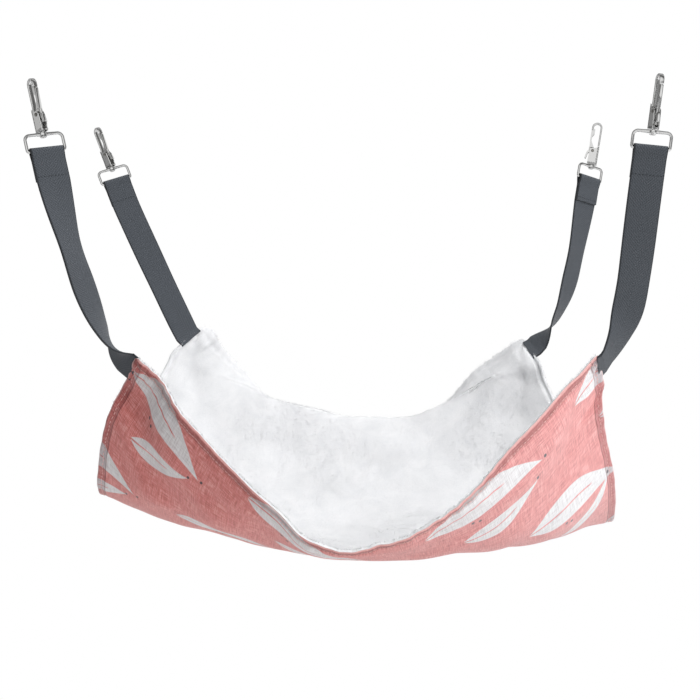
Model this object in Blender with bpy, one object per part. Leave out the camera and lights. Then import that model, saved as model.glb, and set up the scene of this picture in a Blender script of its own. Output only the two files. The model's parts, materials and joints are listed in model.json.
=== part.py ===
# A cat hammock: a cotton bed panel with a plush lining, hung at its four corners
# on webbing straps, each with a rectangular ring and a swivelling snap hook.
# Metres, +Z up, X along the bed's length, the viewer at -Y.
# The origin is the centre of the four hook seats, where the cage's bars lie.

import math

import bmesh
import bpy
import numpy as np
from mathutils import Matrix, Vector

mm = 0.001

# Hanging grid and bed, as they hang
hookGridLength = 463.5 * mm
hookGridDepth = 316 * mm
bedHalfLength = 210 * mm
bedHalfDepth = 170 * mm
bedDrop = 367 * mm

# Cloth
flatLength = 494 * mm
flatDepth = 380 * mm
coverThickness = 1.2 * mm
liningThickness = 4 * mm
liningInset = 1 * mm
liningEdgeThickness = 1.6 * mm
clothGap = 0.35 * mm
cellsAlong = 26
cellsAcross = 20

# Webbing straps
strapWidth = 25 * mm
strapInset = 2 * mm
strapThickness = 1.5 * mm
strapTailLength = 22 * mm
strapPinchDepth = 8 * mm
strapEndTaper = 0.6 * mm
strapEndShare = 0.3
strapSettleShare = 0.95
strapSeamGap = 0.4 * mm
strapSeamLead = 2.5 * mm
strapSteps = 24
loopSteps = 8

# Clearance between neighbouring solids
gap = 0.3 * mm

# Rectangular ring
ringWire = 2.3 * mm
ringSideGap = 0.4 * mm
ringHeight = 12.3 * mm
ringTopCorner = 3.6 * mm
ringFootCorner = 1.6 * mm
ringSides = 8
bossRadius = 3 * mm
bossHeight = 3 * mm

# Swivel rivet
rivetRadius = 1 * mm
rivetHeadRadius = 2.4 * mm
rivetHeadHeight = 1 * mm
rivetPeenRadius = 1.5 * mm
rivetPeenHeight = 1 * mm
headEdgeShare = 0.7

# Snap hook
hookReach = 54 * mm
hookPlate = 1.6 * mm
hookDepth = 3.7 * mm
crookRadius = 3.95 * mm
noseLength = 2.7 * mm
noseBevel = 0.5 * mm
cupDepth = 5.5 * mm
cupWidth = 8.95 * mm
cupBase = 2 * mm
cheekThickness = 0.9 * mm
cheekRound = 2.6 * mm
cheekSweep = 110        # degrees
pivotHeight = 12.7 * mm
pivotReach = 5.55 * mm

# Gate lever, its pin and its spring
gateHub = 2.3 * mm
gateHubSweep = (130, 300)    # degrees
gateArm = 1.3 * mm
gateTongue = 1.2 * mm
gateTongueRise = 1.5 * mm
gateTongueFoot = 3.2 * mm
tabReach = 5.2 * mm
tabDrop = 7.4 * mm
gateWaistShare = 0.5
tabShares = [(0.75, -0.28), (0.90, -0.70), (1.00, -1.00), (1.26, -0.96),
             (1.17, -0.62), (1.00, -0.16), (0.62, 0.13)]
pinRadius = 0.8 * mm
pinHeadRadius = 1.4 * mm
pinHeadHeight = 0.5 * mm
springWire = 0.35 * mm
springRadius = 1.4 * mm
springPitch = 0.5 * mm
springTurns = 1.75
springSides = 6
springPoints = 20
springLeg = 3.1 * mm
springShortLeg = 1.3 * mm

cutOverrun = 1 * mm

# The bed's shape as it hangs. Each row is one line of the cloth from the left
# short edge to the right one, at equal steps of its length. A place is given as
# shares of the bed's half length, half depth and drop.
panelShares = {
    "front_hem": [(-0.746, -0.841, -0.547), (-0.545, -0.924, -0.676), (-0.302, -0.971, -0.819),
                  (0.002, -1.000, -0.928), (0.345, -0.988, -0.852), (0.622, -0.941, -0.691),
                  (0.903, -0.859, -0.544)],
    "front_seam": [(-0.794, -0.720, -0.594), (-0.603, -0.827, -0.744), (-0.318, -0.900, -0.852),
                   (0.002, -0.938, -0.942), (0.361, -0.915, -0.877), (0.672, -0.842, -0.761),
                   (0.923, -0.723, -0.587)],
    "front_wall": [(-0.877, -0.659, -0.689), (-0.631, -0.765, -0.777), (-0.331, -0.829, -0.874),
                   (0.002, -0.876, -0.949), (0.374, -0.841, -0.904), (0.698, -0.776, -0.797),
                   (0.917, -0.682, -0.647)],
    "front_turn": [(-0.940, -0.412, -0.824), (-0.664, -0.559, -0.878), (-0.350, -0.582, -0.938),
                   (0.012, -0.588, -0.978), (0.402, -0.588, -0.964), (0.745, -0.541, -0.932),
                   (1.006, -0.424, -0.818)],
    "belly": [(-0.971, -0.088, -0.871), (-0.674, -0.118, -0.925), (-0.359, -0.118, -0.973),
              (0.012, -0.118, -0.996), (0.417, -0.118, -0.985), (0.769, -0.118, -0.963),
              (1.056, -0.059, -0.936)],
    "rear_turn": [(-0.926, 0.294, -0.797), (-0.650, 0.353, -0.854), (-0.331, 0.365, -0.914),
                  (0.022, 0.353, -0.942), (0.417, 0.365, -0.920), (0.755, 0.341, -0.887),
                  (0.998, 0.324, -0.838)],
    "rear_ridge": [(-0.836, 0.588, -0.661), (-0.550, 0.735, -0.663), (-0.274, 0.765, -0.725),
                   (0.060, 0.747, -0.762), (0.355, 0.759, -0.747), (0.631, 0.759, -0.662),
                   (0.883, 0.618, -0.669)],
    "rear_seam": [(-0.745, 0.774, -0.558), (-0.540, 0.776, -0.651), (-0.269, 0.802, -0.717),
                  (0.065, 0.829, -0.769), (0.350, 0.806, -0.741), (0.628, 0.770, -0.661),
                  (0.835, 0.725, -0.586)],
    "rear_hem": [(-0.648, 0.847, -0.516), (-0.502, 0.935, -0.622), (-0.255, 0.947, -0.751),
                 (0.069, 0.929, -0.828), (0.345, 0.947, -0.778), (0.593, 0.935, -0.627),
                 (0.793, 0.859, -0.546)],
}

# Main folds: place along the length and the depth, direction in turns, length,
# width and height, all as shares of the flat cloth's size but the direction.
foldShares = [
    (0.13, 0.16, 0.10, 0.16, 0.030, 0.006),
    (0.22, 0.12, 0.06, 0.14, 0.028, -0.005),
    (0.86, 0.17, -0.11, 0.16, 0.032, 0.006),
    (0.76, 0.11, -0.05, 0.13, 0.026, -0.005),
    (0.12, 0.84, -0.11, 0.15, 0.030, -0.006),
    (0.88, 0.83, 0.11, 0.15, 0.030, -0.006),
    (0.56, 0.03, 0.22, 0.09, 0.020, 0.003),
    (0.42, 0.00, 0.00, 0.035, 0.060, -0.010),
    (0.06, 0.00, 0.00, 0.050, 0.060, 0.011),
    (0.93, 0.00, 0.00, 0.045, 0.060, 0.006),
]

# The four corners: the hook's seat as shares of the grid's half sizes and the
# drop, the lower bar's offset from below the seat as shares of the hook's
# reach, the ring's yaw, the hook's swivel, which way the strap's edges turn,
# whether the sewn tail is in front, the shares of the strap's twist taken up at
# each fifth of its free length, and how far its curve keeps to the ring's and to
# the seam's direction as shares of that length. The last share is how much that
# second direction leans from square to the seam towards the ring.
cornerShares = {
    "front_left": ((-0.981, -1.0, 0.000), (0.236, -0.124), 27.9, -50, 1, False,
                   (0.40, 0.41, 0.52, 0.64), (0.58, 0.14, 0.00)),
    "front_right": ((0.976, -1.0, 0.010), (-0.100, 0.124), -0.3, -80, 1, False,
                    (0.02, 0.18, 0.20, 0.67), (0.61, 0.33, 0.38)),
    "rear_left": ((-1.014, 1.0, -0.011), (0.392, -0.127), 16.7, -48, -1, False,
                  (0.16, 0.17, 0.66, 0.68), (0.10, 0.02, 0.00)),
    "rear_right": ((1.014, 1.0, 0.001), (-0.172, -0.122), 32.6, 170, -1, True,
                   (0.21, 0.22, 0.36, 0.50), (0.61, 0.29, 0.41)),
}


def clearScene():
    for thing in list(bpy.data.objects):
        bpy.data.objects.remove(thing, do_unlink=True)


def makeMaterial(name, colour, roughness, metallic):
    material = bpy.data.materials.new(name)
    material.use_nodes = True
    material.diffuse_color = (*colour, 1)
    shader = material.node_tree.nodes["Principled BSDF"]
    shader.inputs["Base Color"].default_value = (*colour, 1)
    shader.inputs["Roughness"].default_value = roughness
    shader.inputs["Metallic"].default_value = metallic
    return material


def makeObject(name, mesh, material, sharpAngle=40):
    thing = bpy.data.objects.new(name, mesh)
    bpy.context.collection.objects.link(thing)
    mesh.materials.clear()
    mesh.materials.append(material)
    mesh.shade_smooth()
    mesh.set_sharp_from_angle(angle=math.radians(sharpAngle))
    return thing


def meshFrom(name, points, faces):
    mesh = bpy.data.meshes.new(name)
    mesh.from_pydata([tuple(p) for p in points], [], faces)
    work = bmesh.new()
    work.from_mesh(mesh)
    bmesh.ops.recalc_face_normals(work, faces=work.faces[:])
    work.to_mesh(mesh)
    work.free()
    return mesh


def hideCutter(cutter):
    cutter.hide_render = True
    cutter.display_type = "WIRE"


def addBoolean(thing, other, operation):
    hideCutter(other)
    modifier = thing.modifiers.new(other.name, "BOOLEAN")
    modifier.operation = operation
    modifier.solver = "EXACT"
    modifier.object = other


# Places on the hanging cloth

def curvePoint(points, t):
    """A smooth curve through the points, t from 0 to 1."""
    last = len(points) - 1
    place = min(max(t, 0), 1) * last
    i = min(int(place), last - 1)
    s = place - i
    b, c = points[i], points[i + 1]
    a = points[i - 1] if i > 0 else 2 * b - c
    d = points[i + 2] if i < last - 1 else 2 * c - b
    return b + 0.5 * s * (c - a + s * (2 * a - 5 * b + 4 * c - d + s * (3 * (b - c) + d - a)))


def ribAt(u):
    """The line across the cloth at the share u of its length, as even steps."""
    size = np.array([bedHalfLength, bedHalfDepth, bedDrop])
    guides = [curvePoint(np.array(row) * size, u) for row in panelShares.values()]
    fine = np.array([curvePoint(guides, t) for t in np.linspace(0, 1, 121)])
    steps = np.linalg.norm(np.diff(fine, axis=0), axis=1)
    along = np.concatenate([[0], np.cumsum(steps)])
    return fine, along / along[-1]


def foldHeight(x, y):
    """How far the main folds lift the cloth at a place of the flat cut."""
    height = 0
    for place, depth, turn, length, width, rise in foldShares:
        angle = 2 * math.pi * turn
        dx = x - place * flatLength
        dy = y - depth * flatDepth
        along = (dx * math.cos(angle) + dy * math.sin(angle)) / (length * flatLength)
        across = (dy * math.cos(angle) - dx * math.sin(angle)) / (width * flatLength)
        height += rise * flatLength * math.exp(-along * along - across * across)
    return height


def clothGrid():
    """Points and upward normals of the hanging cloth on the grid of the flat cut."""
    seamCell = strapWidth + 2 * strapInset
    across = np.concatenate([[0], np.linspace(seamCell, flatDepth - seamCell, cellsAcross - 1), [flatDepth]])
    points, lifts = [], []
    for x in np.linspace(0, flatLength, cellsAlong + 1):
        fine, along = ribAt(x / flatLength)
        points.append([[np.interp(y / flatDepth, along, fine[:, k]) for k in range(3)] for y in across])
        lifts.append([foldHeight(x, y) for y in across])
    points = np.array(points)
    points += gridNormals(points) * np.array(lifts)[:, :, None]
    corners = [(i, nearI, j, nearJ) for i, nearI in ((0, 1), (-1, -2)) for j, nearJ in ((0, 1), (-1, -2))]
    for i, nearI, j, nearJ in corners:
        points[i, j] = points[nearI, j] + points[i, nearJ] - points[nearI, nearJ]
    normals = gridNormals(points)
    for i, nearI, j, nearJ in corners:
        normals[i, nearJ] = normals[i, j]
    return points, normals


def gridNormals(points):
    """Each grid point's normal, averaged over the triangles that meet there."""
    a, b, c, d = points[:-1, :-1], points[1:, :-1], points[1:, 1:], points[:-1, 1:]
    first, second = np.cross(b - a, c - a), np.cross(c - a, d - a)
    normals = np.zeros_like(points)
    normals[:-1, :-1] += first + second
    normals[1:, :-1] += first
    normals[1:, 1:] += first + second
    normals[:-1, 1:] += second
    return normals / np.linalg.norm(normals, axis=2)[:, :, None]


def drawnIn(points, inset):
    """The grid with its edge points moved in along the cloth's own facets."""
    points = points.copy()
    for rows in (points, points.swapaxes(0, 1)):
        for edge, inner in ((0, 1), (-1, -2)):
            way = rows[inner] - rows[edge]
            rows[edge] += way * (inset / np.linalg.norm(way, axis=1))[:, None]
    return points


def clothLayer(name, below, above, edgeAbove, inset):
    """One layer of the bed between two distances over the cloth's face, the upper one its own at the edge."""
    points, normals = clothGrid()
    points = drawnIn(points, inset)
    wide, deep = points.shape[:2]
    index, places = {}, []
    for side in (0, 1):
        for i in range(wide):
            for j in range(deep):
                onEdge = i in (0, wide - 1) or j in (0, deep - 1)
                height = (edgeAbove if onEdge else above) if side else below
                index[side, i, j] = len(places)
                places.append(points[i, j] + normals[i, j] * height)
    faces = []
    for i in range(wide - 1):
        for j in range(deep - 1):
            a, b, c, d = (i, j), (i + 1, j), (i + 1, j + 1), (i, j + 1)
            for triangle in ((a, b, c), (a, c, d)):
                faces.append([index[(1, *corner)] for corner in triangle])
                faces.append([index[(0, *corner)] for corner in reversed(triangle)])
    rim = [(i, 0) for i in range(wide)] + [(wide - 1, j) for j in range(1, deep)]
    rim += [(i, deep - 1) for i in range(wide - 2, -1, -1)] + [(0, j) for j in range(deep - 2, 0, -1)]
    for a, b in zip(rim, rim[1:] + rim[:1]):
        faces.append([index[(0, *a)], index[(0, *b)], index[(1, *b)], index[(1, *a)]])
    return meshFrom(name, places, faces)


def cornerSeam(corner):
    """The strap's seam on the short edge: its end near the corner, its other end, and the way in."""
    points, normals = clothGrid()
    wide, deep = points.shape[:2]
    i, stepI = (0, 1) if corner.endswith("left") else (wide - 1, -1)
    j, stepJ = (0, 1) if corner.startswith("front") else (deep - 1, -1)
    middle = (liningEdgeThickness + clothGap - coverThickness) / 2
    tip, below, inner = (Vector(points[k] + normals[k] * middle)
                         for k in ((i, j), (i, j + stepJ), (i + stepI, j)))
    along = (below - tip).normalized()
    nearEnd = tip + along * strapInset
    inward = inner - tip
    return nearEnd, nearEnd + along * strapWidth, (inward - along * inward.dot(along)).normalized()


# Hardware, modelled about its own axes: X along the ring's bars, Z up the stem,
# the origin at the middle of the ring's lower bar

def ringMesh():
    wire = ringWire / 2
    halfWide = strapWidth / 2 + ringSideGap + wire
    turns = []
    for k, (x, z) in enumerate(((1, 1), (-1, 1), (-1, 0), (1, 0))):
        corner = ringTopCorner if z else ringFootCorner
        centre = Vector((x * (halfWide - corner), 0, ringHeight - corner if z else corner))
        for step in range(4):
            angle = math.pi / 2 * (k + step / 3)
            turns.append((centre, corner, Vector((math.cos(angle), 0, math.sin(angle)))))
    places, faces = [], []
    for centre, corner, out in turns:
        for side in range(ringSides):
            angle = 2 * math.pi * (side + 0.5) / ringSides
            reach = corner + wire * math.cos(angle)
            places.append(centre + out * reach + Vector((0, wire * math.sin(angle), 0)))
    count = len(turns)
    for i in range(count):
        for side in range(ringSides):
            other = (side + 1) % ringSides
            following = (i + 1) % count
            faces.append([i * ringSides + side, following * ringSides + side,
                          following * ringSides + other, i * ringSides + other])
    return meshFrom("ring", places, faces)


def turnedMesh(name, profile, sides, axis):
    """A turned solid from a profile of (radius, height) that starts and ends on the axis."""
    places, faces, rows = [], [], []
    for radius, height in profile:
        if radius == 0:
            rows.append([len(places)])
            places.append((0, 0, height))
            continue
        rows.append(range(len(places), len(places) + sides))
        for side in range(sides):
            angle = 2 * math.pi * side / sides
            places.append((radius * math.cos(angle), radius * math.sin(angle), height))
    for low, high in zip(rows, rows[1:]):
        for side in range(sides):
            other = (side + 1) % sides
            ring = [low[side % len(low)], low[other % len(low)], high[other % len(high)], high[side % len(high)]]
            faces.append(list(dict.fromkeys(ring)))
    if axis == "Y":
        places = [(x, z, -y) for x, y, z in places]
    return meshFrom(name, places, faces)


def cylinderMesh(name, radius, low, high, sides=16, axis="Z"):
    return turnedMesh(name, [(0, low), (radius, low), (radius, high), (0, high)], sides, axis)


def plateMesh(name, outline, low, high):
    """An outline in X and Z, given thickness along Y."""
    count = len(outline)
    places = [(x, low, z) for x, z in outline] + [(x, high, z) for x, z in outline]
    faces = [list(range(count)), list(range(2 * count - 1, count - 1, -1))]
    for i in range(count):
        j = (i + 1) % count
        faces.append([j, i, i + count, j + count])
    return meshFrom(name, places, faces)


def arcPoints(centre, radius, start, end, steps):
    angles = [math.radians(start + (end - start) * k / steps) for k in range(steps + 1)]
    return [(centre[0] + radius * math.cos(a), centre[1] + radius * math.sin(a)) for a in angles]


def boxOutline(left, right, low, high):
    return [(left, low), (right, low), (right, high), (left, high)]


bossTop = ringHeight + bossHeight / 2
cupBottom = bossTop + gap
cupFloor = cupBottom + cupBase
pivotZ = cupBottom + pivotHeight
crookZ = hookReach - hookPlate / 2 - crookRadius
spineOuter = -crookRadius - hookPlate / 2
spineInner = spineOuter + hookPlate
pivotX = spineOuter + pivotReach + cheekThickness - hookPlate / 2
noseInner = crookRadius - hookPlate / 2
noseBottom = crookZ - noseLength
seatZ = crookZ + crookRadius - hookPlate / 2


def hookMesh(material):
    """The J of spine, crook and nose, joined to the cup that the stem turns in."""
    outer, inner = crookRadius + hookPlate / 2, crookRadius - hookPlate / 2
    outline = [(spineInner, cupBottom), *arcPoints((0, crookZ), inner, 180, 0, 10), (inner, noseBottom),
               (outer - noseBevel, noseBottom), (outer, noseBottom + noseBevel)]
    outline += [*arcPoints((0, crookZ), outer, 0, 180, 12), (spineOuter, cupBottom)]
    body = makeObject("hook", plateMesh("hook", outline, -hookDepth / 2, hookDepth / 2), material)
    right = spineOuter + cupWidth
    cheek = [(spineOuter, cupBottom), (right, cupBottom), (right, cupFloor + cheekRound)]
    cheek += arcPoints((pivotX, pivotZ), cheekRound, 0, cheekSweep, 6)
    cheek += [(spineOuter, pivotZ + cheekRound + hookPlate)]
    cup = makeObject("cup", plateMesh("cup", cheek, -cupDepth / 2, cupDepth / 2), material)
    slotHalf = cupDepth / 2 - cheekThickness
    slot = makeObject("slot", plateMesh("slot", boxOutline(
        spineInner, right + cutOverrun, cupFloor, pivotZ + 2 * cheekRound), -slotHalf, slotHalf), material)
    stem = makeObject("stem", cylinderMesh(
        "stem", rivetRadius + gap, cupBottom - cutOverrun, cupFloor + cutOverrun), material)
    across = makeObject("across", cylinderMesh(
        "across", pinRadius + gap, -cupDepth, cupDepth, axis="Y"), material)
    across.location = (pivotX, 0, pivotZ)
    addBoolean(body, cup, "UNION")
    for cutter in (slot, stem, across):
        addBoolean(body, cutter, "DIFFERENCE")
    return applied(body, [cup, slot, stem, across], "hook_body")


def applied(thing, helpers, name):
    """The object's mesh with its modifiers applied; the objects it was made from go."""
    bpy.context.view_layer.update()
    graph = bpy.context.evaluated_depsgraph_get()
    mesh = bpy.data.meshes.new_from_object(thing.evaluated_get(graph))
    mesh.name = name
    for used in [thing, *helpers]:
        bpy.data.objects.remove(used, do_unlink=True)
    return mesh


def bossedRingMesh(material):
    ring = makeObject("loop", ringMesh(), material)
    boss = makeObject("boss", cylinderMesh(
        "boss", bossRadius, bossTop - bossHeight, bossTop), material)
    bore = makeObject("bore", cylinderMesh(
        "bore", rivetRadius + gap, bossTop - bossHeight - cutOverrun, bossTop + cutOverrun), material)
    addBoolean(ring, boss, "UNION")
    addBoolean(ring, bore, "DIFFERENCE")
    return applied(ring, [boss, bore], "ring")


def rivetMesh():
    shoulder = bossTop - bossHeight - gap
    peen = cupFloor + gap
    profile = [(0, shoulder - rivetHeadHeight), (rivetHeadRadius * headEdgeShare, shoulder - rivetHeadHeight),
               (rivetHeadRadius, shoulder - rivetHeadHeight / 2), (rivetHeadRadius, shoulder),
               (rivetRadius, shoulder), (rivetRadius, peen), (rivetPeenRadius, peen),
               (rivetPeenRadius * headEdgeShare, peen + rivetPeenHeight), (0, peen + rivetPeenHeight)]
    return turnedMesh("rivet", profile, 12, "Z")


def pinMesh():
    face = cupDepth / 2 + gap
    head = face + pinHeadHeight
    profile = [(0, -head), (pinHeadRadius * headEdgeShare, -head), (pinHeadRadius, -face), (pinRadius, -face),
               (pinRadius, face), (pinHeadRadius, face), (pinHeadRadius * headEdgeShare, head), (0, head)]
    return turnedMesh("pin", profile, 10, "Y")


def gateMesh(material):
    """The lever about its pivot at the origin: hub, arm, tongue under the nose and thumb tab."""
    top = noseBottom - gap - pivotZ
    armOuter = crookRadius + hookPlate / 2 - pivotX
    tongueOuter = noseInner - gap - pivotX
    tongueInner = tongueOuter - gateTongue
    armInner = armOuter - gateArm
    waist = top * gateWaistShare
    outline = arcPoints((0, 0), gateHub, *gateHubSweep, 9)
    outline += [(tabReach * x, tabDrop * z) for x, z in tabShares]
    outline += [(armOuter, waist), (armOuter, top), (tongueOuter, top), (tongueOuter, top + gateTongueRise),
                (tongueInner, top + gateTongueRise), (tongueInner, top - gateTongueFoot),
                (armInner, top - 2 * gateTongueFoot), (armInner, waist)]
    half = cupDepth / 2 - cheekThickness - gap
    lever = makeObject("lever", plateMesh("lever", outline, -half, half), material)
    bore = makeObject("bore", cylinderMesh("bore", pinRadius + gap, -cupDepth, cupDepth, 12, "Y"), material)
    reach = gateHub + gap
    pocket = makeObject("pocket", plateMesh("pocket", boxOutline(
        -reach - cutOverrun, reach, -reach - cutOverrun, reach + springWire), 0, cupDepth), material)
    addBoolean(lever, bore, "DIFFERENCE")
    addBoolean(lever, pocket, "DIFFERENCE")
    return applied(lever, [bore, pocket], "gate")


def springMesh():
    """A small torsion spring beside the hub: one leg on the spine, one up along the lever."""
    start = springWire / 2 + gap
    turn = 2 * math.pi * springTurns
    coil = []
    for k in range(springPoints + 1):
        t = k / springPoints
        angle = math.pi + turn * t
        coil.append(Vector((springRadius * math.cos(angle), start + springPitch * springTurns * t,
                            springRadius * math.sin(angle))))
    first = coil[0] + Vector((-springWire, 0, -springLeg))
    last = coil[-1] + Vector((springShortLeg, 0, springWire))
    path = [first, *coil, last]
    places, faces = [], []
    for i, place in enumerate(path):
        ahead = path[min(i + 1, len(path) - 1)] - path[max(i - 1, 0)]
        ahead.normalize()
        side = ahead.cross(Vector((0, 1, 0))).normalized()
        up = side.cross(ahead)
        for k in range(springSides):
            angle = 2 * math.pi * k / springSides
            places.append(place + (side * math.cos(angle) + up * math.sin(angle)) * springWire / 2)
    for i in range(len(path) - 1):
        for k in range(springSides):
            n = (k + 1) % springSides
            faces.append([i * springSides + k, i * springSides + n,
                          (i + 1) * springSides + n, (i + 1) * springSides + k])
    faces.append(list(range(springSides)))
    faces.append(list(range(len(places) - 1, len(places) - 1 - springSides, -1)))
    return meshFrom("spring", places, faces)


# Straps

def strapStations(frame, seam, edgeTurn, tailInFront, twist, pulls):
    """Centre, width direction and thickness of the webbing from its tail to the seam."""
    nearEnd, farEnd, inward = seam
    side = 1 if tailInFront else -1
    barX, barY, barZ = (frame.col[k].to_3d() for k in range(3))
    origin = frame.to_translation()
    radius = ringWire / 2 + gap + strapThickness / 2
    pinch = (strapThickness + gap) / 2
    stations = []
    tail = [(-side * pinch, -strapTailLength), (-side * pinch, -strapPinchDepth)]
    loop = [(-side * radius * math.cos(math.pi * k / loopSteps), radius * math.sin(math.pi * k / loopSteps))
            for k in range(loopSteps + 1)]
    run = [(side * pinch, -strapPinchDepth), (side * pinch, -strapTailLength)]
    for y, z in tail + loop + run:
        stations.append((origin + barY * y + barZ * z, barX.copy()))
    start = stations[-1][0]
    seamPlace = (nearEnd + farEnd) / 2 - inward * strapSeamGap
    end = seamPlace - inward * strapSeamLead
    span = (end - start).length
    endWidth = (farEnd - nearEnd).normalized() * edgeTurn
    straight = (end - start).normalized()
    endWay = inward.lerp(straight, pulls[2])
    a, b = start - barZ * span * pulls[0], end - endWay * span * pulls[1]
    turns = np.array([0, *twist, 1])
    for k in range(1, strapSteps + 1):
        t = k / strapSteps
        s = 1 - t
        place = start * s ** 3 + a * 3 * s * s * t + b * 3 * s * t * t + end * t ** 3
        twisted = curvePoint(turns, t / strapSettleShare)
        stations.append((place, turned(barX, endWidth, twisted)))
    stations.append((seamPlace, endWidth))
    return stations


def turned(first, last, share):
    angle = first.angle(last)
    return (first * math.sin((1 - share) * angle) + last * math.sin(share * angle)) / math.sin(angle)


def strapMesh(name, stations):
    """The webbing swept along its stations, with a narrow end at the seam."""
    count = len(stations)
    places, faces = [], []
    half = strapThickness / 2
    for i, (place, width) in enumerate(stations):
        ahead = stations[min(i + 1, count - 1)][0] - stations[max(i - 1, 0)][0]
        ahead.normalize()
        wide = (width - ahead * width.dot(ahead)).normalized()
        thick = ahead.cross(wide)
        if i == count - 1:
            places += stripCorners(place + (-ahead) * strapEndTaper, wide, thick, half)
            half *= strapEndShare
        places += stripCorners(place, wide, thick, half)
    rows = len(places) // 4
    for i in range(rows - 1):
        for k in range(4):
            n = (k + 1) % 4
            faces.append([i * 4 + k, i * 4 + n, i * 4 + 4 + n, i * 4 + 4 + k])
    faces.append([0, 1, 2, 3])
    faces.append([rows * 4 - 1, rows * 4 - 2, rows * 4 - 3, rows * 4 - 4])
    return meshFrom(name, places, faces)


def stripCorners(place, wide, thick, half):
    across = wide * (strapWidth / 2)
    up = thick * half
    return [place - across - up, place + across - up, place + across + up, place - across + up]


def ringFrame(corner):
    """The ring's own axes at one corner, with the hook's seat on its stated place."""
    seat, lean, yaw = cornerShares[corner][:3]
    top = Vector((seat[0] * hookGridLength / 2, seat[1] * hookGridDepth / 2, seat[2] * bedDrop))
    bar = top + Vector((lean[0], lean[1], -1)) * seatZ
    up = (top - bar).normalized()
    wide = Vector((math.cos(math.radians(yaw)), math.sin(math.radians(yaw)), 0))
    wide = (wide - up * wide.dot(up)).normalized()
    matrix = Matrix.Identity(4)
    for k, axis in enumerate((wide, up.cross(wide), up)):
        matrix.col[k][:3] = axis
    matrix.col[3][:3] = top - up * seatZ
    return matrix


def addEmpty(name, matrix, parent=None):
    empty = bpy.data.objects.new(name, None)
    bpy.context.collection.objects.link(empty)
    empty.empty_display_size = ringHeight
    empty.parent = parent
    empty.matrix_local = matrix
    return empty


def build():
    clearScene()
    cotton = makeMaterial("coral_cotton", (0.78, 0.30, 0.27), 0.85, 0)
    plush = makeMaterial("white_plush", (0.83, 0.85, 0.87), 0.95, 0)
    webbing = makeMaterial("grey_webbing", (0.09, 0.10, 0.12), 0.8, 0)
    nickel = makeMaterial("nickel_plate", (0.80, 0.80, 0.79), 0.2, 1)
    steel = makeMaterial("spring_steel", (0.55, 0.55, 0.54), 0.35, 1)

    makeObject("cover", clothLayer("cover", -coverThickness, 0, 0, 0), cotton)
    makeObject("lining", clothLayer(
        "lining", clothGap, clothGap + liningThickness, clothGap + liningEdgeThickness, liningInset), plush)

    ring = bossedRingMesh(nickel)
    hook = hookMesh(nickel)
    gate = gateMesh(nickel)
    rivet, pin, spring = rivetMesh(), pinMesh(), springMesh()

    for corner, values in cornerShares.items():
        swivel, edgeTurn, tailInFront, twist, pulls = values[3:]
        frame = ringFrame(corner)
        seam = cornerSeam(corner)
        stations = strapStations(frame, seam, edgeTurn, tailInFront, twist, pulls)
        nearEnd, farEnd, _ = seam
        hinge = (nearEnd + farEnd) / 2
        strap = makeObject(corner + "_strap", strapMesh(corner + "_strap", stations), webbing)
        strap.data.transform(Matrix.Translation(-hinge))
        strap.location = hinge
        ringAxis = addEmpty(corner + "_ring_axis", frame)
        yaw = math.atan2(frame.col[0][1], frame.col[0][0])
        turn = Matrix.Rotation(math.radians(swivel) - yaw, 4, "Z")
        hookAxis = addEmpty(corner + "_hook_axis", turn, ringAxis)
        pivot = addEmpty(corner + "_gate_axis", Matrix.Translation((pivotX, 0, pivotZ)), hookAxis)
        pieces = (("ring", ring, nickel, ringAxis), ("swivel_rivet", rivet, nickel, hookAxis),
                  ("hook_body", hook, nickel, hookAxis), ("gate", gate, nickel, pivot),
                  ("gate_pin", pin, steel, pivot), ("gate_spring", spring, steel, pivot))
        for piece, mesh, material, parent in pieces:
            thing = makeObject(corner + "_" + piece, mesh.copy(), material)
            thing.parent = parent
    bpy.context.view_layer.update()


build()
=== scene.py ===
import json
import math

import bpy
import numpy as np
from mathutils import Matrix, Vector


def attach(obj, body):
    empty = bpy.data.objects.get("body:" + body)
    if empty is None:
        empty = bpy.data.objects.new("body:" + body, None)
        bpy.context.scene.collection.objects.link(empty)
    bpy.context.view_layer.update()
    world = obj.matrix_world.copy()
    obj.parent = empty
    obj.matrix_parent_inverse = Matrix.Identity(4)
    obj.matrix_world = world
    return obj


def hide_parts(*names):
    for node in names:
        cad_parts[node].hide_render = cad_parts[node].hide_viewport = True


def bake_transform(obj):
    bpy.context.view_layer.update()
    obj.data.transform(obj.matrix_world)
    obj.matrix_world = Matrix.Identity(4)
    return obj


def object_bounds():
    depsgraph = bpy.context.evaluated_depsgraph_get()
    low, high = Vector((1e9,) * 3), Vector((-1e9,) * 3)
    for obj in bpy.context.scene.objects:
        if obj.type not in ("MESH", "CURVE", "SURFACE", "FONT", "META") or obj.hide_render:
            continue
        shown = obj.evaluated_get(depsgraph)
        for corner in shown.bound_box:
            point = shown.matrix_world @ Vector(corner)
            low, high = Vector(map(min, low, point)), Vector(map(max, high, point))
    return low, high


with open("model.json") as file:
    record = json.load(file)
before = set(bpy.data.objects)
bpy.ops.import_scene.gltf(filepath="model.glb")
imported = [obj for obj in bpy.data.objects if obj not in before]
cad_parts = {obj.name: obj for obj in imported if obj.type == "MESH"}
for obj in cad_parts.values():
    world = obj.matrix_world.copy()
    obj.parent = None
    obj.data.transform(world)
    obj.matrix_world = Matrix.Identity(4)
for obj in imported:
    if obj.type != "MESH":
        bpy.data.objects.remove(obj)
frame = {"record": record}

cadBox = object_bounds()
mm = 0.001
cornerNames = ("front_left", "front_right", "rear_left", "rear_right")

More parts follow.
